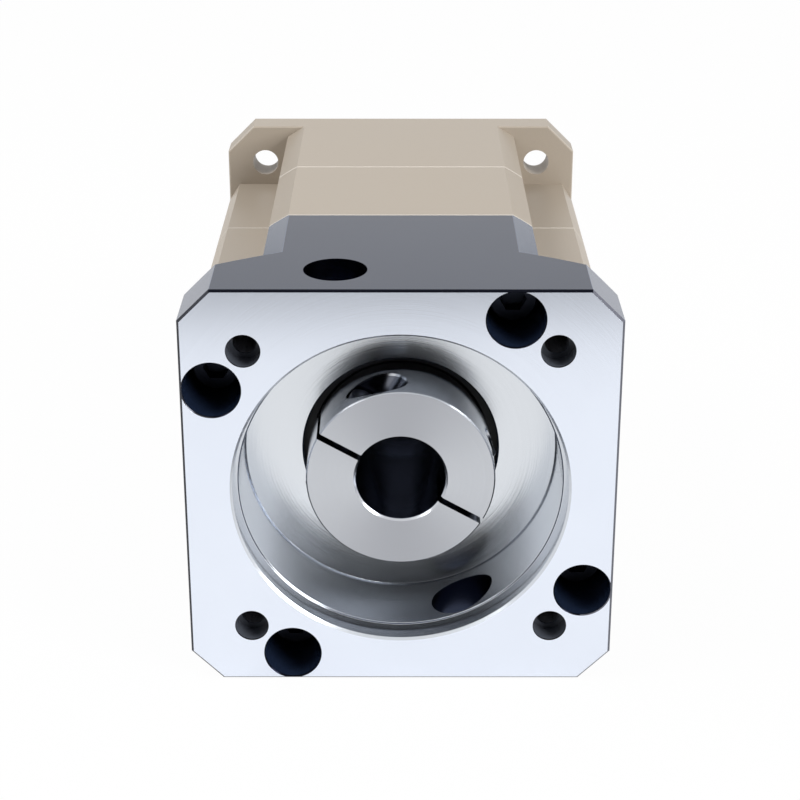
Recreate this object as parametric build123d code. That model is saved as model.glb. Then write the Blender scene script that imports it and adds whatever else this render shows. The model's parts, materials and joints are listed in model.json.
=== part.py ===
from build123d import *
import math
import os

# A one-stage helical planetary gearbox that bolts to the flange of a 19 mm shaft servo motor.
# Millimetres. The axis of the gearbox is Y and the output shaft points along +Y. The origin is
# the centre of the output mounting face and Z is up. A station is a distance along the axis
# from the motor face, and an angle is seen from the motor, from +X towards +Z.

# Clearances
fit = 0.02
running = 0.06
end_play = 0.7
edge_break = 0.3
face_break = 0.5

# Outline of the housings, seen along the axis. The width of the body sets the size of the frame.
body_width = 90.0
corner_chamfer = 6.7
lobe_wall = 3.2
notch_side_wall = 2.923
notch_fillet = 3.0

# Motor adapter
pilot_wall = 4.0
motor_pilot_depth = 4.5
relief_shoulder = 1.0
relief_depth = 21.2
floor_thickness = 3.6
shaft_hole_gap = 1.2
cone_end = 22.4
rear_wall = 3.0
rear_relief_step = 3.5
motor_bolt_circle = 90.0
motor_thread_radius = 2.5
motor_thread_depth = 20.0
motor_hole_mouth = 3.6
motor_mouth_depth = 5.0
access_hole_radius = 6.6

# The four long screws that hold the three housings together
screw_angle = 59.0
screw_radius = 3.0
screw_hole_radius = 3.3
screw_head_radius = 5.0
screw_head_height = 6.0
screw_pocket_radius = 6.0
screw_pocket_depth = 18.0
screw_pocket_wall = 0.4275
screw_pocket_break = 0.2
screw_socket_flats = 5.0
screw_grip = 16.5
thread_run_out = 2.0

# Spigots and face seals of the two joints
spigot_length = 2.5
spigot_gap = 0.05
spigot_wall = 4.15
relief_step = 0.325
ring_groove_wall = 0.95
ring_groove_width = 1.9
ring_groove_depth = 1.5
ring_groove_land = 0.65

# Gears
sun_teeth = 12
planet_teeth = 18
planet_count = 3
pressure_angle = math.radians(25.0)
helix_angle = math.radians(15.0)
addendum = 1.0
dedendum = 1.25
backlash = 0.10
planet_width = 22.0
sun_overhang = 0.5
ring_overhang = 2.5
first_planet_angle = 90.0

# Planet carrier with its output shaft
carrier_gap = 0.7
motor_side_web = 4.0
output_side_web = 7.0
web_inset = 1.7
sun_gap = 1.3
post_step = 2.5
planet_pocket_gap = 1.0
shaft_shoulder_step = 3.5
shaft_shoulder_length = 1.3
seal_land_setback = 1.0
stub_step = 2.5
stub_length = 12.0
output_shaft_radius = 11.0
output_shaft_length = 48.0
shaft_chamfer = 1.0
centre_thread_radius = 3.4
centre_thread_depth = 19.0
centre_thread_mouth = 4.2

# Planet pins, needles and washers
pin_radius = 4.5
pin_setback = 0.2
needle_radius = 1.25
needle_length = 20.0
needle_count = 14
washer_thickness = 0.8
washer_play = 0.2
washer_radius = 9.5

# Output housing
output_housing_length = 43.5
ear_thickness = 8.0
ear_circle_step = 5.0
ear_hole_radius = 3.3
output_pilot_wall = 6.0
output_pilot_length = 10.0
housing_shoulder_step = 3.5
output_seal_width = 10.0
output_seal_inset = 2.0
seal_gap = 4.0

# Input hub with its clamp
hub_front = 6.1
hub_radius = 20.0
clamp_length = 12.1
neck_step = 1.0
hub_seat_length = 13.5
nose_gap = 1.0
motor_bore_radius = 9.5
motor_bore_length = 35.9
bore_chamfer = 0.5
sun_shank_radius = 6.5
slit_width = 1.3
slit_depth = 14.9
hub_angle = -30.0
clamp_screw_wall = 1.15
clamp_screw_setback = 5.8
clamp_screw_radius = 2.5
clamp_screw_hole_radius = 2.75
clamp_head_radius = 4.25
clamp_head_height = 5.0
clamp_pocket_radius = 4.75
clamp_seat_height = 5.2
clamp_thread_end = 1.6
clamp_socket_flats = 4.0
socket_depth = 2.8

# Bearings
input_bearing_step = 1.5
input_bearing_height = 10.0
input_bearing_width = 10.0
input_ball_count = 11
rear_bearing_height = 11.5
rear_bearing_width = 12.0
rear_ball_count = 12
front_bearing_height = 14.0
front_bearing_width = 15.0
front_ball_count = 9
race_chamfer = 0.6
ball_clearance = 0.08
cage_rim = 1.0

# Circlips
circlip_thickness = 1.5
groove_depth = 1.2
circlip_band = 2.6
circlip_gap = 9.0
circlip_lug_radius = 1.9
circlip_lug_step = 0.4
circlip_eye_radius = 0.8

# Shaft seals
input_seal_step = 1.5
input_seal_width = 7.0
bearing_step = 0.7
seal_case = 1.6
seal_web = 2.0
seal_lip_height = 3.0
seal_lip_setback = 0.8
seal_lip_slope = 1.6
seal_neck = 0.9
dust_lip = 0.3

# The gear set fills the frame: screws inside the flange, seals inside the screws, ring gear inside
screw_distance = (body_width / 2 - screw_pocket_radius - screw_pocket_wall) / math.sin(
    math.radians(screw_angle)
)
screw_across = screw_distance * math.cos(math.radians(screw_angle))
lobe_radius = screw_distance + screw_hole_radius + lobe_wall
notch_wall = screw_across + screw_hole_radius + notch_side_wall
motor_pilot_radius = screw_distance - screw_pocket_radius - pilot_wall
relief_radius = motor_pilot_radius - relief_shoulder
ring_groove_radius = screw_distance - screw_hole_radius - ring_groove_land - ring_groove_width
spigot_bore_radius = ring_groove_radius - ring_groove_wall
spigot_radius = spigot_bore_radius - spigot_gap
ring_teeth = sun_teeth + 2 * planet_teeth
ring_root_radius = spigot_bore_radius - relief_step
ear_distance = body_width / 2 + ear_circle_step

# Gears and what is fitted round them. The module comes to 1.5.
module = ring_root_radius / (ring_teeth / 2 + dedendum)
planet_centre_radius = module * (sun_teeth + planet_teeth) / 2
ring_tip_radius = module * (ring_teeth / 2 - addendum)
planet_tip_radius = module * (planet_teeth / 2 + addendum)
sun_tip_radius = module * (sun_teeth / 2 + addendum)
carrier_radius = ring_tip_radius - carrier_gap
carrier_centre_hole = sun_tip_radius + sun_gap
post_inner_radius = planet_centre_radius - post_step
needle_centre_radius = pin_radius + running + needle_radius
planet_bore_radius = needle_centre_radius + needle_radius + running
planet_angles = [first_planet_angle + 360.0 * k / planet_count for k in range(planet_count)]
corner_angles = [45.0 + 90.0 * k for k in range(4)]
screw_angles = [screw_angle + 90.0 * k for k in range(4)]

# Shafts, their bearings and their seals. A bearing is its bore radius, outer radius, width and balls.
neck_radius = hub_radius - neck_step
nose_radius = carrier_centre_hole - nose_gap
shaft_hole_radius = hub_radius + shaft_hole_gap
clamp_screw_offset = motor_bore_radius + clamp_screw_hole_radius + clamp_screw_wall
input_bearing_bore = neck_radius - input_bearing_step
input_bearing_radius = input_bearing_bore + input_bearing_height
input_seal_radius = input_bearing_radius - input_seal_step
rear_relief_radius = input_bearing_radius + rear_relief_step
output_bearing_radius = spigot_radius - spigot_wall
rear_bearing_bore = output_bearing_radius - rear_bearing_height
front_bearing_bore = output_bearing_radius - front_bearing_height
output_pilot_radius = output_bearing_radius + output_pilot_wall
housing_shoulder_radius = output_bearing_radius - housing_shoulder_step
shaft_shoulder_radius = rear_bearing_bore + shaft_shoulder_step
stub_radius = front_bearing_bore - stub_step
input_bearing = (input_bearing_bore, input_bearing_radius, input_bearing_width, input_ball_count)
rear_bearing = (rear_bearing_bore, output_bearing_radius, rear_bearing_width, rear_ball_count)
front_bearing = (front_bearing_bore, output_bearing_radius, front_bearing_width, front_ball_count)

# Stations along the axis, each worked out from the pieces before it
access_station = hub_front + clamp_screw_setback
input_seal_start = relief_depth + floor_thickness
input_bearing_start = input_seal_start + input_seal_width + bearing_step
input_bearing_end = input_bearing_start + input_bearing_width
adapter_length = input_bearing_end + circlip_thickness + rear_wall
motor_web_start = adapter_length + spigot_length + end_play
motor_web_end = motor_web_start + motor_side_web
planet_start = motor_web_end + washer_thickness + washer_play
planet_end = planet_start + planet_width
output_web_start = planet_end + washer_thickness + washer_play
output_web_end = output_web_start + output_side_web
ring_housing_end = output_web_end - web_inset
rear_bearing_start = output_web_end + shaft_shoulder_length
rear_bearing_end = rear_bearing_start + rear_bearing_width
mount_face = ring_housing_end + output_housing_length
output_seal_start = mount_face - output_seal_inset
front_bearing_end = output_seal_start - seal_gap
front_bearing_start = front_bearing_end - front_bearing_width
pilot_end = mount_face + output_pilot_length
hub_end = motor_web_end - end_play
motor_bore_end = hub_front + motor_bore_length


# Basic shapes

def plane_at(station):
    """The plane across the axis at a station, with X to the right and Z up."""
    return Plane(origin=(0, station - mount_face, 0), x_dir=(1, 0, 0), z_dir=(0, -1, 0))


def slab(section, start, end):
    """A section seen along the axis, extruded between two stations."""
    return extrude(plane_at(start) * section, amount=end - start, dir=(0, 1, 0))


def turned(*outline):
    """A solid turned about the axis, from (radius, station) corners."""
    corners = [(radius, station - mount_face) for radius, station in outline]
    return revolve(make_face(Polyline(*corners, close=True)), Axis.Y)


def rod(radius, start, end, chamfer_size=0.0):
    """A round bar on the axis, with a chamfer at each end."""
    if chamfer_size == 0.0:
        return turned((0, start), (radius, start), (radius, end), (0, end))
    inner = radius - chamfer_size
    return turned(
        (0, start),
        (inner, start),
        (radius, start + chamfer_size),
        (radius, end - chamfer_size),
        (inner, end),
        (0, end),
    )


def tube(inner, outer, start, end):
    """A plain ring on the axis."""
    return turned((inner, start), (outer, start), (outer, end), (inner, end))


def placed(shape, radius, angle):
    """The shape moved off the axis to a radius and an angle."""
    turn = math.radians(angle)
    return Pos(radius * math.cos(turn), 0, radius * math.sin(turn)) * shape


def spun(shape, angle):
    """The shape turned about the axis by an angle seen from the motor."""
    return Rot(0, -angle, 0) * shape


def ball(radius, station):
    """A ball on the axis at a station."""
    return Pos(0, station - mount_face, 0) * Sphere(radius)


def group(shapes):
    """Separate solids that belong to one piece or one set of pieces."""
    return Compound([solid for shape in shapes for solid in shape.solids()])


# Sections of the housings

def square_section():
    """The square of a flange, with its corners cut off."""
    square = Rectangle(body_width, body_width)
    return chamfer(square.vertices(), corner_chamfer)


def lobed_section():
    """The square turned down at its corners, with a notch along each corner."""
    reach = body_width - 2 * notch_wall
    notch = RectangleRounded(reach, reach, notch_fillet)
    corners = GridLocations(body_width, body_width, 2, 2)
    return Rectangle(body_width, body_width) & Circle(lobe_radius) - corners * notch


def lobed_body(start, end):
    """A length of the lobed housing, with both ends broken."""
    body = slab(lobed_section(), start, end)
    ends = body.faces().sort_by(Axis.Y)
    return chamfer(ends[0].edges() + ends[-1].edges(), edge_break)


def screw_holes(start, end):
    """The holes of the long screws, between two stations."""
    hole = rod(screw_hole_radius, start, end)
    return [placed(hole, screw_distance, angle) for angle in screw_angles]


# Housings

def face_groove(start, end):
    """The groove for a seal in a joint face."""
    return tube(ring_groove_radius, ring_groove_radius + ring_groove_width, start, end)


def adapter_bore():
    """Everything turned out of the motor adapter, from the motor face to its rear."""
    seat = input_bearing_radius
    groove_start = input_bearing_end
    groove_end = groove_start + circlip_thickness + fit
    return turned(
        (0, -1),
        (motor_pilot_radius + face_break + 1, -1),
        (motor_pilot_radius, face_break),
        (motor_pilot_radius, motor_pilot_depth),
        (relief_radius + edge_break, motor_pilot_depth),
        (relief_radius, motor_pilot_depth + edge_break),
        (relief_radius, relief_depth - edge_break),
        (relief_radius - edge_break, relief_depth),
        (shaft_hole_radius + edge_break, relief_depth),
        (shaft_hole_radius, relief_depth + edge_break),
        (shaft_hole_radius, input_seal_start),
        (input_seal_radius, input_seal_start),
        (input_seal_radius, input_bearing_start),
        (seat, input_bearing_start),
        (seat, groove_start),
        (seat + groove_depth, groove_start),
        (seat + groove_depth, groove_end),
        (seat, groove_end),
        (rear_relief_radius, groove_end + rear_relief_radius - seat),
        (rear_relief_radius, adapter_length + spigot_length + 1),
        (0, adapter_length + spigot_length + 1),
    )


def screw_pocket():
    """The counterbore for the head of one long screw, drawn on the axis."""
    return turned(
        (0, -1),
        (screw_pocket_radius + screw_pocket_break + 1, -1),
        (screw_pocket_radius, screw_pocket_break),
        (screw_pocket_radius, screw_pocket_depth),
        (0, screw_pocket_depth),
    )


def motor_hole():
    """One threaded hole for the motor, drawn on the axis."""
    thread = rod(motor_thread_radius, -1, motor_thread_depth)
    return thread + rod(motor_hole_mouth, -1, motor_mouth_depth)


def access_hole(side):
    """The hole in the top (1) or bottom (-1) flat that a key reaches a clamp screw through."""
    depth = body_width / 2
    hole = Cylinder(access_hole_radius, depth, align=(Align.CENTER, Align.CENTER, Align.MIN))
    across = -side * clamp_screw_offset
    tilt = 0 if side > 0 else 180
    return Pos(across, access_station - mount_face, side * hub_radius) * Rot(tilt, 0, 0) * hole


def motor_adapter():
    """The black housing that the motor bolts to, with a square flange turned to a cone."""
    flange = slab(square_section(), 0, cone_end)
    flange = chamfer(flange.faces().sort_by(Axis.Y)[0].edges(), face_break)
    rear = slab(lobed_section(), cone_end - 1, adapter_length)
    rear = chamfer(rear.faces().sort_by(Axis.Y)[-1].edges(), edge_break)
    reach = math.hypot(body_width, body_width - 2 * corner_chamfer) / 2 + 1
    envelope = turned(
        (0, 0),
        (reach, 0),
        (reach, cone_end - (reach - lobe_radius)),
        (lobe_radius, cone_end),
        (lobe_radius, adapter_length),
        (0, adapter_length),
    )
    body = (flange + rear) & envelope
    body += rod(spigot_radius, adapter_length - 1, adapter_length + spigot_length)
    body -= adapter_bore()
    body -= face_groove(adapter_length - ring_groove_depth, adapter_length)
    body -= screw_holes(-1, adapter_length + 1)
    body -= [placed(screw_pocket(), screw_distance, angle) for angle in screw_angles]
    body -= [placed(motor_hole(), motor_bolt_circle / 2, angle) for angle in corner_angles]
    body -= [access_hole(1), access_hole(-1)]
    return body


def ring_gear_housing():
    """The middle housing, with the helical teeth of the ring gear cut in its bore."""
    tooth_start = planet_start - ring_overhang
    tooth_end = planet_end + ring_overhang
    bore = turned(
        (0, adapter_length - 1),
        (spigot_bore_radius, adapter_length - 1),
        (spigot_bore_radius, tooth_start),
        (ring_tip_radius, tooth_start),
        (ring_tip_radius, tooth_end),
        (spigot_bore_radius, tooth_end),
        (spigot_bore_radius, ring_housing_end + 1),
        (0, ring_housing_end + 1),
    )
    spaces = helical_teeth(
        ring_teeth,
        root_radius=ring_tip_radius - 0.5,
        tip_radius=ring_root_radius,
        thickness=math.pi * module / 2 + backlash,
        start=tooth_start - 0.5,
        end=tooth_end + 0.5,
        first_tooth=180.0 / ring_teeth,
        hand=-1,
    )
    body = lobed_body(adapter_length, ring_housing_end) - bore
    body -= screw_holes(adapter_length - 1, ring_housing_end + 1)
    return body - spaces


def output_bore():
    """Everything turned out of the output housing, from its spigot to the output pilot."""
    seat = output_bearing_radius
    groove_end = front_bearing_end + circlip_thickness + fit
    return turned(
        (0, ring_housing_end - spigot_length - 1),
        (seat + edge_break, ring_housing_end - spigot_length - 1),
        (seat + edge_break, output_web_end),
        (seat, output_web_end + edge_break),
        (seat, rear_bearing_end),
        (housing_shoulder_radius, rear_bearing_end),
        (housing_shoulder_radius, front_bearing_start),
        (seat, front_bearing_start),
        (seat, front_bearing_end),
        (seat + groove_depth, front_bearing_end),
        (seat + groove_depth, groove_end),
        (seat, groove_end),
        (seat, pilot_end - face_break),
        (seat + face_break + 1, pilot_end + 1),
        (0, pilot_end + 1),
    )


def output_housing():
    """The front housing, with the bearings of the output shaft, four ears and the pilot."""
    ear_start = mount_face - ear_thickness
    body = slab(lobed_section(), ring_housing_end, ear_start + 1)
    body = chamfer(body.faces().sort_by(Axis.Y)[0].edges(), edge_break)
    ears = slab(square_section(), ear_start, mount_face)
    ends = ears.faces().sort_by(Axis.Y)
    ears = chamfer(ends[0].edges() + ends[-1].edges(), edge_break)
    body += ears
    body += rod(spigot_radius, ring_housing_end - spigot_length, ring_housing_end + 1)
    body += turned(
        (0, mount_face - 1),
        (output_pilot_radius, mount_face - 1),
        (output_pilot_radius, pilot_end - face_break),
        (output_pilot_radius - face_break, pilot_end),
        (0, pilot_end),
    )
    body -= output_bore()
    body -= face_groove(ring_housing_end, ring_housing_end + ring_groove_depth)
    thread_end = ring_housing_end + screw_grip + thread_run_out
    thread = rod(screw_radius + fit, ring_housing_end - 1, thread_end)
    body -= [placed(thread, screw_distance, angle) for angle in screw_angles]
    ear_hole = rod(ear_hole_radius, ear_start - 1, mount_face + 1)
    body -= [placed(ear_hole, ear_distance, angle) for angle in corner_angles]
    return body


# Fasteners, seals and circlips

def hex_socket(flats, station, depth):
    """The hexagonal recess of a socket screw, sunk from a station along the axis."""
    return slab(RegularPolygon(flats / 2, 6, major_radius=False), station, station + depth)


def through_bolts():
    """Four long socket screws from the motor face to the output housing."""
    head_top = screw_pocket_depth - screw_head_height
    end = ring_housing_end + screw_grip
    screw = turned(
        (0, head_top),
        (screw_head_radius - edge_break, head_top),
        (screw_head_radius, head_top + edge_break),
        (screw_head_radius, screw_pocket_depth),
        (screw_radius, screw_pocket_depth),
        (screw_radius, end - face_break),
        (screw_radius - face_break, end),
        (0, end),
    )
    screw -= hex_socket(screw_socket_flats, head_top, socket_depth)
    return group(placed(screw, screw_distance, angle) for angle in screw_angles)


def o_ring(start, end):
    """A face seal squeezed into its groove, with rounded edges."""
    width = ring_groove_width - 2 * fit
    height = end - start - fit
    centre = (ring_groove_radius + ring_groove_width / 2, (start + end) / 2 - mount_face)
    section = Pos(*centre) * RectangleRounded(width, height, 0.45 * height)
    return revolve(section, Axis.Y)


def oil_seal(outer, shaft, start, width):
    """A shaft seal: a cased ring, a web, a dust lip and a sprung lip that runs on the shaft."""
    lip = shaft + running
    lip_end = start + width - seal_lip_setback
    return turned(
        (outer - fit, start),
        (outer - fit, start + width),
        (outer - seal_case, start + width),
        (outer - seal_case, start + seal_web),
        (shaft + seal_lip_height, start + seal_web),
        (shaft + seal_lip_height, lip_end),
        (shaft + seal_lip_slope, lip_end),
        (lip, lip_end - seal_lip_slope),
        (shaft + seal_neck, lip_end - 2 * seal_lip_slope),
        (shaft + seal_neck, start + seal_neck),
        (lip, start + dust_lip),
        (shaft + dust_lip, start),
    )


def circlip(bottom_radius, outward, start, angle):
    """A snap ring on a groove's floor radius, with its gap and two eyed lugs at an angle."""
    band = (bottom_radius, bottom_radius + circlip_band)
    lug_radius = band[1] + circlip_lug_step
    if not outward:
        band = (bottom_radius - circlip_band, bottom_radius)
        lug_radius = band[0] - circlip_lug_step
    end = start + circlip_thickness - fit
    ring = tube(*band, start + fit, end)
    gap = slab(Pos(bottom_radius, 0) * Rectangle(4 * circlip_band, circlip_gap), start, end)
    lean = math.degrees(math.asin((circlip_gap / 2 + 0.6) / lug_radius))
    lug = rod(circlip_lug_radius, start + fit, end)
    eye = rod(circlip_eye_radius, start, end + fit)
    ring -= gap
    for side in (-1, 1):
        ring += placed(lug, lug_radius, side * lean)
        ring -= placed(eye, lug_radius, side * lean)
    return spun(ring, angle)


# Bearings

def race_radii(bearing):
    """Ball circle, ball radius and the land radii of the inner and outer race."""
    inner, outer, _, _ = bearing
    height = outer - inner
    centre = (inner + outer) / 2
    return centre, 0.3 * height, centre - 0.2 * height, centre + 0.2 * height


def ball_track(bearing, start):
    """The ring that the balls sweep, with their clearance."""
    centre, radius, _, _ = race_radii(bearing)
    middle = start + bearing[2] / 2 - mount_face
    return Pos(0, middle, 0) * Rot(90, 0, 0) * Torus(centre, radius + ball_clearance)


def inner_race(bearing, start):
    """The race that sits on a shaft."""
    bore, _, width, _ = bearing
    land = race_radii(bearing)[2]
    ring = turned(
        (bore + fit + race_chamfer, start + fit),
        (land, start + fit),
        (land, start + width - fit),
        (bore + fit + race_chamfer, start + width - fit),
        (bore + fit, start + width - fit - race_chamfer),
        (bore + fit, start + fit + race_chamfer),
    )
    return ring - ball_track(bearing, start)


def outer_race(bearing, start):
    """The race that sits in a housing."""
    _, outer, width, _ = bearing
    land = race_radii(bearing)[3]
    ring = turned(
        (land, start + fit),
        (outer - fit - race_chamfer, start + fit),
        (outer - fit, start + fit + race_chamfer),
        (outer - fit, start + width - fit - race_chamfer),
        (outer - fit - race_chamfer, start + width - fit),
        (land, start + width - fit),
    )
    return ring - ball_track(bearing, start)


def ball_angles(bearing):
    """Where the balls of a bearing lie round the axis."""
    count = bearing[3]
    return [360.0 * k / count for k in range(count)]


def balls(bearing, start):
    """The balls of a bearing, on their circle."""
    centre, radius, _, _ = race_radii(bearing)
    one = ball(radius, start + bearing[2] / 2)
    return group(placed(one, centre, angle) for angle in ball_angles(bearing))


def cage(bearing, start):
    """The ring between the races, with a pocket round each ball."""
    centre, radius, land_in, land_out = race_radii(bearing)
    thickness = 0.6 * (land_out - land_in)
    middle = start + bearing[2] / 2
    half = radius + cage_rim
    ring = tube(centre - thickness / 2, centre + thickness / 2, middle - half, middle + half)
    window = Cylinder(radius + ball_clearance, 2 * radius)
    pocket = Pos(centre, middle - mount_face, 0) * Rot(0, 90, 0) * window
    return ring - [spun(pocket, angle) for angle in ball_angles(bearing)]


# Gears

def involute(angle):
    """The involute function of an angle."""
    return math.tan(angle) - angle


def gear_section(teeth, root_radius, tip_radius, thickness, first_tooth, station):
    """The face of a gear across the axis. The thickness is of a tooth on the pitch circle."""
    pitch_radius = module * teeth / 2
    base_radius = pitch_radius * math.cos(pressure_angle)

    def half_angle(radius):
        """Half the angle that a tooth fills at a radius."""
        safe = max(radius, base_radius)
        spread = involute(math.acos(base_radius / safe))
        return thickness / (2 * pitch_radius) + involute(pressure_angle) - spread

    def point(radius, angle):
        """A point of the section, from polar coordinates about the axis."""
        x = radius * math.cos(angle)
        return Vector(x, station - mount_face, radius * math.sin(angle))

    low = max(root_radius, base_radius)
    middle = (low + tip_radius) / 2
    pitch = 2 * math.pi / teeth
    foot, waist, crest = half_angle(low), half_angle(middle), half_angle(tip_radius)
    edges = []
    for k in range(teeth):
        centre = math.radians(first_tooth) + k * pitch
        for corners in (
            ((root_radius, -foot), (middle, -waist), (tip_radius, -crest)),
            ((tip_radius, -crest), (tip_radius, 0), (tip_radius, crest)),
            ((tip_radius, crest), (middle, waist), (root_radius, foot)),
            ((root_radius, foot), (root_radius, pitch / 2), (root_radius, pitch - foot)),
        ):
            arc = [point(radius, centre + angle) for radius, angle in corners]
            edges.append(Edge.make_three_point_arc(*arc))
    return Face(Wire(edges))


def helical_teeth(teeth, root_radius, tip_radius, thickness, start, end, first_tooth, hand):
    """A toothed bar on the axis. Its first tooth is at the stated angle where the planets start."""
    twist_rate = math.degrees(math.tan(helix_angle) / (module * teeth / 2))
    lead_in = hand * twist_rate * (start - planet_start)
    section = gear_section(teeth, root_radius, tip_radius, thickness, first_tooth + lead_in, start)
    return Solid.extrude_linear_with_rotation(
        section,
        center=(0, start - mount_face, 0),
        normal=(0, end - start, 0),
        angle=-hand * twist_rate * (end - start),
    )


def outside_gear(teeth, start, end, first_tooth, hand):
    """A gear with outside teeth."""
    return helical_teeth(
        teeth,
        root_radius=module * (teeth / 2 - dedendum),
        tip_radius=module * (teeth / 2 + addendum),
        thickness=math.pi * module / 2 - backlash,
        start=start,
        end=end,
        first_tooth=first_tooth,
        hand=hand,
    )


def sun_gear():
    """The sun gear and the shank that is pressed into the hub."""
    start = planet_start - sun_overhang
    end = planet_end + sun_overhang
    shank = rod(sun_shank_radius - fit, motor_bore_end + fit, start + sun_overhang / 2)
    return outside_gear(sun_teeth, start, end, 0.0, 1) + shank


def planet_gear(angle):
    """One planet gear, with its bore for the needles."""
    gear = outside_gear(planet_teeth, planet_start, planet_end, angle + 180.0 / planet_teeth, -1)
    gear -= rod(planet_bore_radius, planet_start - 1, planet_end + 1)
    return placed(gear, planet_centre_radius, angle)


def planet_needles(angle):
    """The needles between one planet gear and its pin."""
    middle = (planet_start + planet_end) / 2
    needle = rod(needle_radius, middle - needle_length / 2, middle + needle_length / 2)
    turns = [360.0 * k / needle_count for k in range(needle_count)]
    ring = [placed(needle, needle_centre_radius, turn) for turn in turns]
    return group(placed(one, planet_centre_radius, angle) for one in ring)


def planet_pin(angle):
    """The pin that one planet turns on."""
    pin = rod(pin_radius, motor_web_start + pin_setback, output_web_end - pin_setback, edge_break)
    return placed(pin, planet_centre_radius, angle)


def thrust_washers():
    """A washer on each side of each planet."""
    washers = []
    for start in (motor_web_end + fit, output_web_start - fit - washer_thickness):
        washer = tube(pin_radius + running, washer_radius, start, start + washer_thickness)
        washers += [placed(washer, planet_centre_radius, angle) for angle in planet_angles]
    return group(washers)


# Turning shafts

def planet_carrier():
    """The cage that holds the planets, in one piece with the output shaft."""
    land_end = pilot_end - seal_land_setback
    stub_end = mount_face + stub_length
    shaft_end = mount_face + output_shaft_length
    rear_seat = rear_bearing_bore
    front_seat = front_bearing_bore
    body = turned(
        (0, motor_web_start),
        (carrier_radius, motor_web_start),
        (carrier_radius, output_web_end),
        (shaft_shoulder_radius, output_web_end),
        (shaft_shoulder_radius, rear_bearing_start),
        (rear_seat, rear_bearing_start),
        (rear_seat, front_bearing_start),
        (front_seat, front_bearing_start),
        (front_seat, front_bearing_end),
        (front_seat - groove_depth, front_bearing_end),
        (front_seat - groove_depth, front_bearing_end + circlip_thickness + fit),
        (front_seat, front_bearing_end + circlip_thickness + fit),
        (front_seat, land_end - face_break),
        (front_seat - face_break, land_end),
        (stub_radius, land_end),
        (stub_radius, stub_end - face_break),
        (stub_radius - face_break, stub_end),
        (output_shaft_radius, stub_end),
        (output_shaft_radius, shaft_end - shaft_chamfer),
        (output_shaft_radius - shaft_chamfer, shaft_end),
        (0, shaft_end),
    )
    body -= rod(carrier_centre_hole, motor_web_start - 1, motor_web_end + 1)
    body -= rod(post_inner_radius, motor_web_end, output_web_start)
    pocket = rod(planet_tip_radius + planet_pocket_gap, motor_web_end, output_web_start)
    body -= [placed(pocket, planet_centre_radius, angle) for angle in planet_angles]
    pin_hole = rod(pin_radius + fit, motor_web_start - 1, output_web_end + 1)
    body -= [placed(pin_hole, planet_centre_radius, angle) for angle in planet_angles]
    mouth = shaft_end - (centre_thread_mouth - centre_thread_radius)
    body -= turned(
        (0, shaft_end - centre_thread_depth - centre_thread_radius / 2),
        (centre_thread_radius, shaft_end - centre_thread_depth),
        (centre_thread_radius, mouth),
        (centre_thread_mouth, shaft_end),
        (centre_thread_mouth, shaft_end + 1),
        (0, shaft_end + 1),
    )
    return body


def clamp_screw_axis(side):
    """The place of a clamp screw: its head is above (1) or below (-1) an unturned slit."""
    across = -side * clamp_screw_offset
    tilt = 0 if side > 0 else 180
    return Pos(across, access_station - mount_face, 0) * Rot(tilt, 0, 0)


def upright(radius, bottom, top):
    """A round bar along Z between two heights."""
    bar = Cylinder(radius, top - bottom, align=(Align.CENTER, Align.CENTER, Align.MIN))
    return Pos(0, 0, bottom) * bar


def input_hub():
    """The input shaft: a split clamp for the motor shaft, a neck, a bearing seat and a nose."""
    seat = input_bearing_bore
    seat_end = input_bearing_start + hub_seat_length
    groove_end = input_bearing_end + circlip_thickness + fit
    clamp_end = hub_front + clamp_length
    body = turned(
        (motor_bore_radius + bore_chamfer, hub_front),
        (hub_radius - edge_break, hub_front),
        (hub_radius, hub_front + edge_break),
        (hub_radius, clamp_end),
        (neck_radius, clamp_end),
        (neck_radius, input_bearing_start),
        (seat, input_bearing_start),
        (seat, input_bearing_end),
        (seat - groove_depth, input_bearing_end),
        (seat - groove_depth, groove_end),
        (seat, groove_end),
        (seat, seat_end),
        (nose_radius, seat_end),
        (nose_radius, hub_end - face_break),
        (nose_radius - face_break, hub_end),
        (sun_shank_radius, hub_end),
        (sun_shank_radius, motor_bore_end),
        (motor_bore_radius, motor_bore_end),
        (motor_bore_radius, hub_front + bore_chamfer),
    )
    slit = Rectangle(2 * hub_radius + 2, slit_width)
    body -= slab(slit, hub_front - 1, hub_front + slit_depth)
    for side in (1, -1):
        clearance = upright(clamp_screw_hole_radius, 0, hub_radius)
        thread = upright(clamp_screw_radius + fit, -hub_radius, 0)
        pocket = upright(clamp_pocket_radius, clamp_seat_height, hub_radius)
        body -= [clamp_screw_axis(side) * cut for cut in (clearance, thread, pocket)]
    return spun(body, hub_angle)


def clamp_screws():
    """Two socket screws across the slit of the hub, one from each side."""
    head_top = clamp_seat_height + clamp_head_height
    reach = math.sqrt(hub_radius**2 - clamp_screw_offset**2)
    shank = upright(clamp_screw_radius, clamp_thread_end - reach, clamp_seat_height + 1)
    head = upright(clamp_head_radius, clamp_seat_height + fit, head_top)
    head = chamfer(head.edges().sort_by(Axis.Z)[-1], edge_break)
    recess = extrude(RegularPolygon(clamp_socket_flats / 2, 6, major_radius=False), amount=socket_depth)
    screw = head + shank - Pos(0, 0, head_top - socket_depth) * recess
    return group(spun(clamp_screw_axis(side) * screw, hub_angle) for side in (1, -1))


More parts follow.
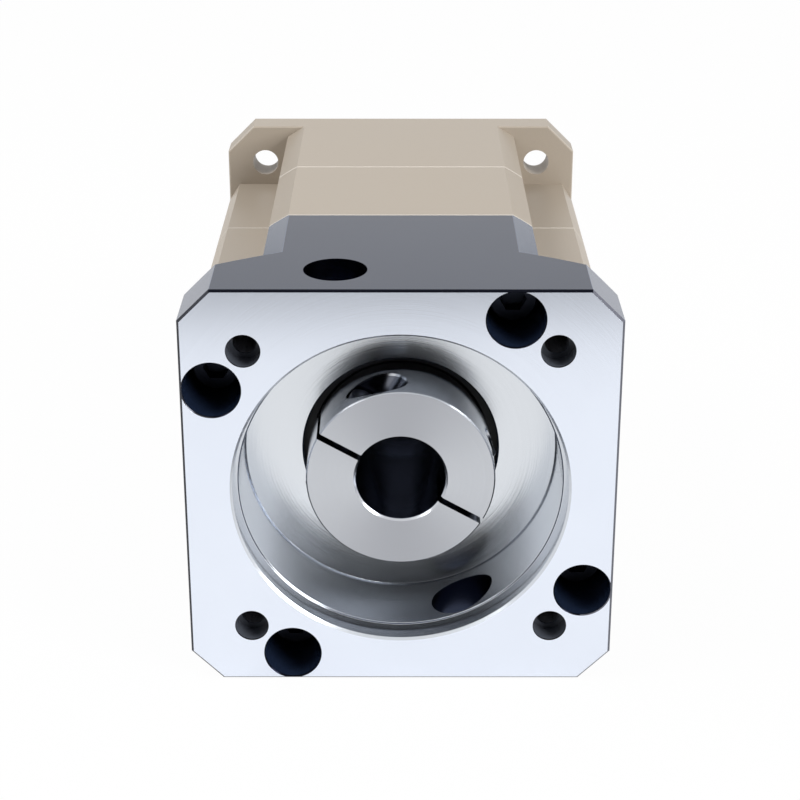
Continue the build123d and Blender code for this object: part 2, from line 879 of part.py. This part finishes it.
def build_parts():
    """Every piece of the gearbox by its name."""
    inner_groove = input_bearing_bore - groove_depth + fit
    shaft_groove = front_bearing_bore - groove_depth + fit
    adapter_groove = input_bearing_radius + groove_depth - fit
    output_groove = output_bearing_radius + groove_depth - fit
    parts = {
        "motor_adapter": motor_adapter(),
        "ring_gear_housing": ring_gear_housing(),
        "output_housing": output_housing(),
        "through_bolts": through_bolts(),
        "adapter_o_ring": o_ring(adapter_length - ring_groove_depth, adapter_length),
        "housing_o_ring": o_ring(ring_housing_end, ring_housing_end + ring_groove_depth),
        "input_seal": oil_seal(input_seal_radius, neck_radius, input_seal_start, input_seal_width),
        "output_seal": oil_seal(
            output_bearing_radius, front_bearing_bore, output_seal_start, output_seal_width
        ),
        "adapter_circlip": circlip(adapter_groove, False, input_bearing_end, 0.0),
        "output_circlip": circlip(output_groove, False, front_bearing_end, 0.0),
        "hub_circlip": circlip(inner_groove, True, input_bearing_end, 180.0),
        "shaft_circlip": circlip(shaft_groove, True, front_bearing_end, 180.0),
        "input_hub": input_hub(),
        "clamp_screws": clamp_screws(),
        "sun_gear": sun_gear(),
        "planet_carrier": planet_carrier(),
        "thrust_washers": thrust_washers(),
    }
    for number, angle in enumerate(planet_angles, 1):
        parts[f"planet_gear_{number}"] = planet_gear(angle)
        parts[f"planet_needles_{number}"] = planet_needles(angle)
        parts[f"planet_pin_{number}"] = planet_pin(angle)
    for name, bearing, start in (
        ("input", input_bearing, input_bearing_start),
        ("output_rear", rear_bearing, rear_bearing_start),
        ("output_front", front_bearing, front_bearing_start),
    ):
        parts[f"{name}_bearing_outer_race"] = outer_race(bearing, start)
        parts[f"{name}_bearing_inner_race"] = inner_race(bearing, start)
        parts[f"{name}_bearing_balls"] = balls(bearing, start)
        parts[f"{name}_bearing_cage"] = cage(bearing, start)
    return parts


os.makedirs("parts", exist_ok=True)
for part_name, part in build_parts().items():
    export_step(part, f"parts/{part_name}.step")
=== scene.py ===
import bpy
import bmesh
import json
import math
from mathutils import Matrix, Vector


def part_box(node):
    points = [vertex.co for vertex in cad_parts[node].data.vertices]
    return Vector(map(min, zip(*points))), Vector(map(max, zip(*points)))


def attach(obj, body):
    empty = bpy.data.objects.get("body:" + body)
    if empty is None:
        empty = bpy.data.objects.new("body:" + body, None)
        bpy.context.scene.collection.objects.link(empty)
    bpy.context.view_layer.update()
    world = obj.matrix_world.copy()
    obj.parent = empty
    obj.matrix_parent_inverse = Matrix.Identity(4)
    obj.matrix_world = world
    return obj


# The finish of a helical planetary gearbox. Metres, in the frame of the model: +Y runs along the
# axis out of the output shaft, Z is up, and the output mounting face is at Y = 0.

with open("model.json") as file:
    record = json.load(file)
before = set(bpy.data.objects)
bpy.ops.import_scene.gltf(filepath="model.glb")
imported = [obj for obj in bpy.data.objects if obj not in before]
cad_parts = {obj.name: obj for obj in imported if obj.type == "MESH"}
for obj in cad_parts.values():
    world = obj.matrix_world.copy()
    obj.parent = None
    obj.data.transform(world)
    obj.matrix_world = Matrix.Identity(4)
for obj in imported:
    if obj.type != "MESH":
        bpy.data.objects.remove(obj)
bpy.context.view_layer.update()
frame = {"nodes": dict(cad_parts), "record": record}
NODES = frame["nodes"]
MOUNTS = {mount["name"]: mount for mount in frame["record"]["mounts"]}
MM = 0.001

# Places read from the frame
motor_face = MOUNTS["motor_face"]["pos_m"][1]
resting_height = MOUNTS["resting_flat"]["pos_m"][2]
pilot_radius = MOUNTS["motor_pilot"]["dims"]["r_mm"] * MM
shaft_bore_radius = MOUNTS["motor_shaft_bore"]["dims"]["r_mm"] * MM
bolt_circle_radius = MOUNTS["motor_bolts"]["dims"]["pcd_mm"] / 2 * MM

# How far past a surface its own colour reaches
skin = 0.05 * MM
face_skin = 0.001 * MM

# Machined surfaces of the motor adapter, as depths behind its face and radii about the axis, and
# the width of a broken edge
pilot_depth = 4.5 * MM
relief_radius = 34.0 * MM
relief_depth = 21.2 * MM
face_break = 0.5 * MM

# Input hub: how far its face lies behind the motor face, its radius, and how deep it is cut. The
# slit and the bore's edge are measured from the hub's face, and the bore from the motor face
hub_setback = 6.1 * MM
hub_radius = 20.0 * MM
slit_depth = 14.9 * MM
bore_edge = 0.2 * MM
bore_depth = 42.0 * MM

# Bevelled corners of the adapter and of the ears, where X and Z add up to this or more, and
# where along X the adapter's bevels start
bevel_sum = 83.2 * MM
bevel_start = 38.3 * MM

# Lobes of the adapter, which end in arcs behind its cone
cone_end = 22.4 * MM
lobe_arc = 51.4 * MM

# Holes of the motor adapter
bolt_place = bolt_circle_radius * math.sqrt(0.5)
motor_mouth_radius = 3.6 * MM
motor_mouth_depth = 5.0 * MM
motor_thread_end = 20.0 * MM
access_hole_radius = 6.6 * MM
access_hole_across = 13.4 * MM
access_hole_depth = 11.9 * MM

# Threads: the height and pitch of each, and how far the shaft's one ends before its mouth
motor_thread_ridge = 0.3 * MM
motor_thread_pitch = 1.0 * MM
shaft_thread_ridge = 0.35 * MM
shaft_thread_pitch = 1.25 * MM
shaft_thread_setback = 1.2 * MM

# Housings: their joints and the back of the eared flange, as places along Y, the radius within
# which they are machined, and the width of the painted highlight along an edge
housing_seams = (motor_face + 47.0 * MM, motor_face + 83.5 * MM)
flange_back = -8.0 * MM
machined_radius = 40.5 * MM
edge_highlight_width = 0.35 * MM

# Marks of the tools: the width of a turned ring, and the heights of rings and of grain
rough_turning = 0.35 * MM
fine_turning = 0.12 * MM
turned_ridge = 0.02 * MM
ground_ridge = 0.006 * MM
steel_grain = 0.004 * MM
moulded_grain = 0.01 * MM


class Value:
    """A number or colour that changes over a surface. Arithmetic on it adds Math nodes."""

    def __init__(self, finish, socket):
        self.finish = finish
        self.socket = socket

    def calculate(self, operation, *others):
        inputs = dict(enumerate((self, *others)))
        return self.finish.node("ShaderNodeMath", {"operation": operation}, inputs)

    def __add__(self, other):
        return self.calculate("ADD", other)

    __radd__ = __add__

    def __mul__(self, other):
        return self.calculate("MULTIPLY", other)

    __rmul__ = __mul__

    def __sub__(self, other):
        return self.calculate("SUBTRACT", other)

    def __rsub__(self, other):
        return self.finish.node("ShaderNodeMath", {"operation": "SUBTRACT"}, {0: other, 1: self})

    def __truediv__(self, other):
        return self.calculate("DIVIDE", other)

    def __pow__(self, other):
        return self.calculate("POWER", other)

    def __lt__(self, other):
        return self.calculate("LESS_THAN", other)

    def __gt__(self, other):
        return self.calculate("GREATER_THAN", other)

    def __abs__(self):
        return self.calculate("ABSOLUTE")


class Finish:
    """A material with one Principled shader, and the nodes that vary it over the surface."""

    def __init__(self, name, **constants):
        self.material = bpy.data.materials.new(name)
        self.material.use_nodes = True
        self.tree = self.material.node_tree
        self.shader = self.tree.nodes["Principled BSDF"]
        for name_of_socket, value in constants.items():
            self.set(name_of_socket, value)

    def set(self, name_of_socket, value):
        """Sets a socket of the shader to a number, a colour or a varying value."""
        self.connect(value, self.shader.inputs[name_of_socket])

    def connect(self, value, socket):
        """Links a varying value to a socket, or writes a number or a colour into it."""
        if isinstance(value, Value):
            self.tree.links.new(value.socket, socket)
        elif isinstance(value, tuple):
            socket.default_value = (*value, 1.0)
        else:
            socket.default_value = value

    def node(self, kind, settings=None, inputs=None, output=0):
        """Adds a node, with its settings and inputs, and gives one of its outputs."""
        made = self.tree.nodes.new(kind)
        for key, value in (settings or {}).items():
            setattr(made, key, value)
        for key, value in (inputs or {}).items():
            self.connect(value, made.inputs[key])
        return Value(self, made.outputs[output])

    def position(self):
        """The surface point, as X, Y and Z in metres."""
        point = self.node("ShaderNodeTexCoord", output="Object")
        return [self.node("ShaderNodeSeparateXYZ", None, {0: point}, axis) for axis in "XYZ"]

    def noise(self, scale, detail=3.0, vector=None):
        """Cloudy noise from 0 to 1, at a number of cells in a metre."""
        if vector is None:
            vector = self.node("ShaderNodeTexCoord", output="Object")
        inputs = {"Vector": vector, "Scale": scale, "Detail": detail}
        return self.node("ShaderNodeTexNoise", None, inputs, "Fac")

    def blend(self, factor, low, high):
        """A colour that goes from low to high with the factor."""
        settings = {"data_type": "RGBA"}
        return self.node("ShaderNodeMix", settings, {0: factor, 6: low, 7: high}, 2)

    def layers(self, colour, *above):
        """A colour with others laid over it in turn, each as far as its factor says."""
        for factor, cover in above:
            colour = self.blend(factor, colour, cover)
        return colour

    def base_colour(self):
        """The varying base colour that the shader has so far."""
        return Value(self, self.shader.inputs["Base Color"].links[0].from_socket)

    def bump(self, height, distance):
        """Raises the surface by height times a distance in metres."""
        inputs = {"Height": height, "Distance": distance, "Strength": 1.0}
        self.set("Normal", self.node("ShaderNodeBump", None, inputs))

    def give(self, thing):
        """Puts the finish on a whole object."""
        thing.data.materials.clear()
        thing.data.materials.append(self.material)


def inside_circle(across, up, radius):
    """1 within a circle's radius and a skin, else 0."""
    return across * across + up * up < (radius + skin) ** 2


def turning_marks(finish, pitch):
    """The fine rings that a turning tool leaves, on faces and walls round the axis alike."""
    x, y, z = finish.position()
    radius = (x * x + z * z) ** 0.5
    angle = finish.node("ShaderNodeMath", {"operation": "ARCTAN2"}, {0: z, 1: x})

    # The noise changes slowly with the angle, so that the marks come out long
    rings = {0: radius / pitch, 1: y / pitch, 2: angle * 0.35}
    return finish.noise(1.0, 2.0, finish.node("ShaderNodeCombineXYZ", None, rings))


def anodised_adapter():
    """Blue-black anodising all over, cut back to bright metal on the motor face and in the bore."""
    finish = Finish("anodised_and_machined", IOR=1.55)
    x, y, z = finish.position()
    depth = y - motor_face
    radius = (x * x + z * z) ** 0.5

    # Machined surfaces
    face = (depth < face_skin) * (radius > pilot_radius)
    pilot = (depth < pilot_depth + skin) * (radius < pilot_radius + face_break + skin)
    relief = (depth < relief_depth + skin) * (radius < relief_radius + skin)
    bare = (face + pilot + relief) > 0.5
    floor = (depth > relief_depth - skin) * bare

    # Coated surfaces. The access holes lie to one side of the axis above, and to the other below
    coated = 1 - bare
    across = x * z.calculate("SIGN") + access_hole_across
    # Painted shade: the access holes in the coating get a dark metal colour
    hole = inside_circle(across, depth - access_hole_depth, access_hole_radius) * coated
    mouth = inside_circle(abs(x) - bolt_place, abs(z) - bolt_place, motor_mouth_radius) * coated
    edge = (depth < face_break) * coated
    # Painted sheen: the bevelled corners and the lobes' arcs get a lighter colour than the rest of the
    # coating
    bevel_painted_sheen = (abs(x) + abs(z) > bevel_sum) * (depth > face_break) * coated
    arc_painted_sheen = (radius > lobe_arc) * (depth > cone_end)

    cloud = finish.noise(60.0)
    grain = finish.noise(2600.0, 4.0)
    rings = turning_marks(finish, rough_turning)
    coating = finish.layers(
        finish.blend(cloud, (0.012, 0.021, 0.048), (0.017, 0.027, 0.056)),
        (mouth, (0.10, 0.11, 0.135)),
        (bevel_painted_sheen, (0.125, 0.145, 0.20)),
        (arc_painted_sheen, (0.10, 0.12, 0.17)),
    )
    metal = finish.layers(
        finish.blend(floor, (0.64, 0.67, 0.72), (0.75, 0.78, 0.82)),
        (face, finish.blend(cloud, (0.81, 0.86, 0.96), (0.85, 0.90, 1.0))),
    )

    # The broken edge round the face has painted light: painted shade makes it dark above and below, and
    # a painted highlight makes it lightest at the right
    painted_edge_light = finish.layers(
        (0.009, 0.010, 0.016),
        (x < -bevel_start, (0.045, 0.047, 0.056)),
        (x > bevel_start, (0.15, 0.155, 0.185)),
    )
    colour = finish.layers(coating, (bare, metal), (edge, painted_edge_light), (hole, (0.045, 0.055, 0.09)))
    finish.set("Base Color", colour)
    finish.set("Metallic", bare + hole + edge)
    coated_roughness = 0.16 + 0.08 * grain
    turned_roughness = 0.14 + 0.08 * rings + 0.05 * floor
    finish.set("Roughness", coated_roughness * coated + bare * turned_roughness)
    finish.bump(grain * coated * 0.3 + rings * bare * (0.12 + 0.48 * floor), turned_ridge)
    return finish


def champagne_paint():
    """Satin paint with a slight peel and fine flake; bare metal in the bores and on the output face."""
    finish = Finish("champagne_paint", IOR=1.5)
    x, y, z = finish.position()
    bare = ((x * x + z * z < machined_radius ** 2) + (y > -skin)) > 0.5
    painted = 1 - bare
    cloud = finish.noise(35.0)
    flake = finish.noise(5200.0, 2.0)
    peel = finish.noise(750.0)
    rings = turning_marks(finish, fine_turning)
    # Painted highlights: pale lines on the flange's back edge at the bevelled ears and along the
    # housing seams
    painted_edge_highlight = (y > flange_back + face_skin) * (y < flange_back + edge_highlight_width)
    painted_edge_highlight = painted_edge_highlight * (abs(x) + abs(z) > bevel_sum)
    for place in housing_seams:
        painted_edge_highlight = painted_edge_highlight + (abs(y - place) < edge_highlight_width)
    colour = finish.layers(
        finish.blend(cloud, (0.388, 0.330, 0.264), (0.424, 0.362, 0.292)),
        (flake * 0.25, (0.53, 0.485, 0.42)),
        (painted_edge_highlight * (0.30 + 0.45 * flake), (0.80, 0.76, 0.70)),
        (bare, (0.66, 0.67, 0.69)),
    )
    finish.set("Base Color", colour)
    finish.set("Metallic", bare)
    finish.set("Roughness", (0.34 + 0.12 * cloud) * painted + bare * (0.24 + 0.08 * rings))
    finish.bump(peel * painted + rings * bare * 0.3, turned_ridge)
    return finish


def ground_steel(name, colour, roughness):
    """Turned and ground steel, with its rings round the axis."""
    finish = Finish(name, Metallic=1.0)
    rings = turning_marks(finish, fine_turning)
    cloud = finish.noise(90.0)
    darker = tuple(0.86 * part for part in colour)
    finish.set("Base Color", finish.blend(cloud * 0.5 + rings * 0.5, darker, colour))
    finish.set("Roughness", roughness * (0.75 + 0.5 * rings))
    finish.bump(rings, ground_ridge)
    return finish


def hub_steel():
    """Ground steel outside, with painted shade in the slit and the screw pockets, a painted sheen on
    the face, and a bore darkened by painted shade and its oil.
    """
    finish = ground_steel("ground_hub", (0.60, 0.62, 0.66), 0.17)
    x, y, z = finish.position()
    depth = y - motor_face
    squared = x * x + z * z

    # A painted sheen on the hub's face: its colour is darkest straight above and below the axis
    painted_sheen = (z * z / squared) * (depth < hub_setback + skin)
    # Painted shade: the slit and the screw pockets are given a darker colour
    cut = squared < (hub_radius - face_break) ** 2
    cut = cut * (squared > (shaft_bore_radius + face_break) ** 2)
    cut = cut * (depth > hub_setback + face_break) * (depth < hub_setback + slit_depth - skin)
    # The bore's dark colour is painted shade, with some of it for its oil
    bore = inside_circle(x, z, shaft_bore_radius)
    bore = bore * (depth > hub_setback + bore_edge) * (depth < bore_depth - skin)
    colour = finish.layers(
        finish.base_colour(),
        (painted_sheen * 0.7, (0.34, 0.35, 0.38)),
        (cut, (0.15, 0.16, 0.19)),
        (bore, (0.13, 0.145, 0.19)),
    )
    finish.set("Base Color", colour)
    return finish


def plain_steel(name, colour, roughness):
    """Hardened or blackened steel, or bronze, with a fine, even grain."""
    finish = Finish(name, Metallic=1.0)
    grain = finish.noise(1800.0)
    darker = tuple(0.8 * part for part in colour)
    finish.set("Base Color", finish.blend(grain, darker, colour))
    finish.set("Roughness", roughness * (0.8 + 0.4 * grain))
    finish.bump(grain, steel_grain)
    return finish


def moulded(name, colour, roughness):
    """Moulded rubber or plastic."""
    finish = Finish(name, IOR=1.47)
    grain = finish.noise(1500.0)
    lighter = tuple(min(1.0, 1.25 * part) for part in colour)
    finish.set("Base Color", finish.blend(grain, colour, lighter))
    finish.set("Roughness", roughness + 0.15 * grain)
    finish.bump(grain, moulded_grain)
    return finish


def dress():
    """Gives every node its finish, by the record's material slots."""
    finishes = {
        "adapter_black": anodised_adapter(),
        "housing_paint": champagne_paint(),
        "hub_steel": hub_steel(),
        "shaft_steel": ground_steel("ground_shaft", (0.66, 0.66, 0.68), 0.32),
        "gear_steel": plain_steel("gear_steel", (0.42, 0.42, 0.44), 0.30),
        "pin_steel": plain_steel("pin_steel", (0.62, 0.62, 0.64), 0.20),
        "bearing_steel": plain_steel("bearing_steel", (0.72, 0.72, 0.74), 0.14),
        "spring_steel": plain_steel("spring_steel", (0.13, 0.13, 0.14), 0.38),
        "screw_black": plain_steel("black_oxide", (0.045, 0.05, 0.07), 0.35),
        "washer_bronze": plain_steel("bronze", (0.50, 0.31, 0.14), 0.30),
        "seal_rubber": moulded("seal_rubber", (0.018, 0.018, 0.020), 0.45),
        "cage_plastic": moulded("cage_plastic", (0.42, 0.32, 0.17), 0.42),
    }
    for part in frame["record"]["subparts"]:
        finishes[part["material_slot"]].give(NODES[part["node"]])


def new_object(name, shape):
    """Turns a finished shape into an object of the scene."""
    mesh = bpy.data.meshes.new(name)
    shape.to_mesh(mesh)
    shape.free()
    made = bpy.data.objects.new(name, mesh)
    bpy.context.scene.collection.objects.link(made)
    return made


def thread(name, place, radius, ridge, pitch, length):
    """The ridge of an internal thread: a triangle carried along a helix, closed at both ends."""
    steps_a_turn = 24
    turns = length / pitch - 1
    foot = 0.45 * pitch
    shape = bmesh.new()
    corners = [(radius + skin, -foot), (radius - ridge, 0), (radius + skin, foot)]
    verts = [shape.verts.new((out, along + pitch / 2, 0)) for out, along in corners]
    edges = [shape.edges.new((verts[k], verts[k - 1])) for k in range(3)]
    swept = bmesh.ops.spin(
        shape, geom=verts + edges, cent=(0, 0, 0), axis=(0, 1, 0), dvec=(0, pitch / steps_a_turn, 0),
        angle=2 * math.pi * turns, steps=round(turns * steps_a_turn), use_merge=False,
    )
    last = [item for item in swept["geom_last"] if isinstance(item, bmesh.types.BMVert)]
    shape.faces.new(verts)
    shape.faces.new(last)
    bmesh.ops.recalc_face_normals(shape, faces=shape.faces)
    bmesh.ops.translate(shape, verts=shape.verts, vec=place)
    return new_object(name, shape)


def threads():
    """The threads of the motor holes and of the output shaft's centre hole."""
    cut = plain_steel("cut_thread", (0.30, 0.30, 0.32), 0.3)
    start = motor_face + motor_mouth_depth
    core_radius = MOUNTS["motor_bolts"]["dims"]["hole_r_mm"] * MM
    for number, (right, up) in enumerate(((1, 1), (-1, 1), (-1, -1), (1, -1)), 1):
        place = (right * bolt_place, start, up * bolt_place)
        ridge = thread(
            f"motor_hole_thread_{number}", place, core_radius,
            motor_thread_ridge, motor_thread_pitch, motor_thread_end - motor_mouth_depth,
        )
        cut.give(ridge)
        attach(ridge, "housing")
    centre = MOUNTS["shaft_centre_thread"]["dims"]
    length = centre["length_mm"] * MM
    shaft_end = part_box("planet_carrier")[1].y
    ridge = thread(
        "shaft_centre_thread", (0, shaft_end - length, 0), centre["r_mm"] * MM,
        shaft_thread_ridge, shaft_thread_pitch, length - shaft_thread_setback,
    )
    cut.give(ridge)
    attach(ridge, "output_carrier")


def flat_sheet(name, place, turn, half_size):
    """A flat rectangle of the set, turned and then moved to its place."""
    sheet = bmesh.new()
    bmesh.ops.create_grid(sheet, x_segments=1, y_segments=1, size=1.0)
    bmesh.ops.transform(sheet, matrix=turn @ Matrix.Diagonal((*half_size, 1, 1)), verts=sheet.verts)
    bmesh.ops.translate(sheet, verts=sheet.verts, vec=place)
    return new_object(name, sheet)


def paper_floor():
    """A floor of pale paper, white where it is seen and nearly so where it is mirrored."""
    floor = flat_sheet("floor", (0, 0, resting_height), Matrix.Identity(4), (4.0, 4.0))
    paper = Finish("paper_floor", Roughness=0.9)
    paper.set("Base Color", (0.86, 0.86, 0.86))
    seen = paper.node("ShaderNodeLightPath", output="Is Camera Ray")
    mirrored = paper.node("ShaderNodeLightPath", output="Is Glossy Ray")
    glow = paper.node("ShaderNodeEmission", None, {"Color": (1, 1, 1), "Strength": 1.0})
    lit = Value(paper, paper.shader.outputs[0])
    glowing_share = seen * 0.97 + mirrored * 0.7
    shown = paper.node("ShaderNodeMixShader", None, {0: glowing_share, 1: lit, 2: glow})
    paper.connect(shown, paper.tree.nodes["Material Output"].inputs["Surface"])
    paper.give(floor)


def surround():
    """A white world, at full strength where it is seen or mirrored and at half strength as light."""
    world = bpy.data.worlds.new("surround")
    bpy.context.scene.world = world
    world.use_nodes = True
    nodes = world.node_tree.nodes
    links = world.node_tree.links
    path = nodes.new("ShaderNodeLightPath")
    shown = nodes.new("ShaderNodeMath")
    shown.operation = "MAXIMUM"
    links.new(path.outputs["Is Camera Ray"], shown.inputs[0])
    links.new(path.outputs["Is Glossy Ray"], shown.inputs[1])
    level = nodes.new("ShaderNodeMapRange")
    level.inputs["To Min"].default_value = 0.5
    level.inputs["To Max"].default_value = 1.0
    links.new(shown.outputs[0], level.inputs["Value"])
    background = nodes["Background"]
    background.inputs["Color"].default_value = (1, 1, 1, 1)
    links.new(level.outputs[0], background.inputs["Strength"])


def card(name, shade, place, half_size, shading):
    """A dark card that the camera doesn't see. It faces the object, or lies flat on the floor.

    It shows in reflections, and with shading it also dims the light that falls on the object.
    """
    place = Vector(place)
    facing = -place if place.z > 0 else Vector((0, 0, 1))
    turn = facing.to_track_quat("Z", "Y").to_matrix().to_4x4()
    made = flat_sheet(name, place, turn, half_size)
    made.visible_camera = False
    made.visible_diffuse = shading
    made.visible_shadow = shading
    cloth = Finish(name + "_cloth", Roughness=1.0)
    cloth.set("Base Color", (shade, shade, shade))
    cloth.give(made)


def lamp(name, place, width, power):
    """A square soft lamp that points at the middle of the object."""
    light = bpy.data.lights.new(name, "AREA")
    light.size = width
    light.energy = power
    made = bpy.data.objects.new(name, light)
    bpy.context.scene.collection.objects.link(made)
    made.location = place
    aim = Vector((0, -0.06, 0)) - made.location
    made.rotation_mode = "QUATERNION"
    made.rotation_quaternion = aim.to_track_quat("-Z", "Y")


def studio():
    """The floor, the surround, the cards and the lamps."""
    paper_floor()
    surround()
    mat_place = (0, motor_face - 0.42, resting_height + 1.0 * MM)
    card("dark_room", 0.004, (0, -0.80, 0.27), (0.44, 0.33), True)
    card("dark_mat", 0.36, mat_place, (0.6, 0.21), True)
    sides = (("left", -1), ("right", 1))
    for name, side in sides:
        card("rear_card_" + name, 0.25, (side * 0.55, 0.75, 0.30), (0.22, 0.20), False)
    for name, side in sides:
        card("high_card_" + name, 0.02, (side * 0.75, 0.15, 0.62), (0.55, 0.09), False)
    lamp("key_lamp", (0.80, -0.68, 0.46), 0.5, 8.5)
    lamp("fill_lamp", (-0.62, -0.20, 0.72), 0.6, 5.0)


def camera():
    """The photograph's view: above the axis, looking along it and down at the motor face."""
    degrees_down = 21.23
    degrees_round = 0.04
    lens = bpy.data.cameras.new("camera")
    lens.sensor_width = 36.0
    lens.lens = 81.7
    lens.shift_y = -0.125
    eye = bpy.data.objects.new("camera", lens)
    bpy.context.scene.collection.objects.link(eye)
    eye.location = (0.0001, motor_face - 0.3369, 0.1738)
    eye.rotation_euler = (math.radians(90 - degrees_down), 0, math.radians(degrees_round))
    bpy.context.scene.camera = eye


dress()
threads()
studio()
camera()
bpy.context.scene.view_settings.view_transform = "Standard"
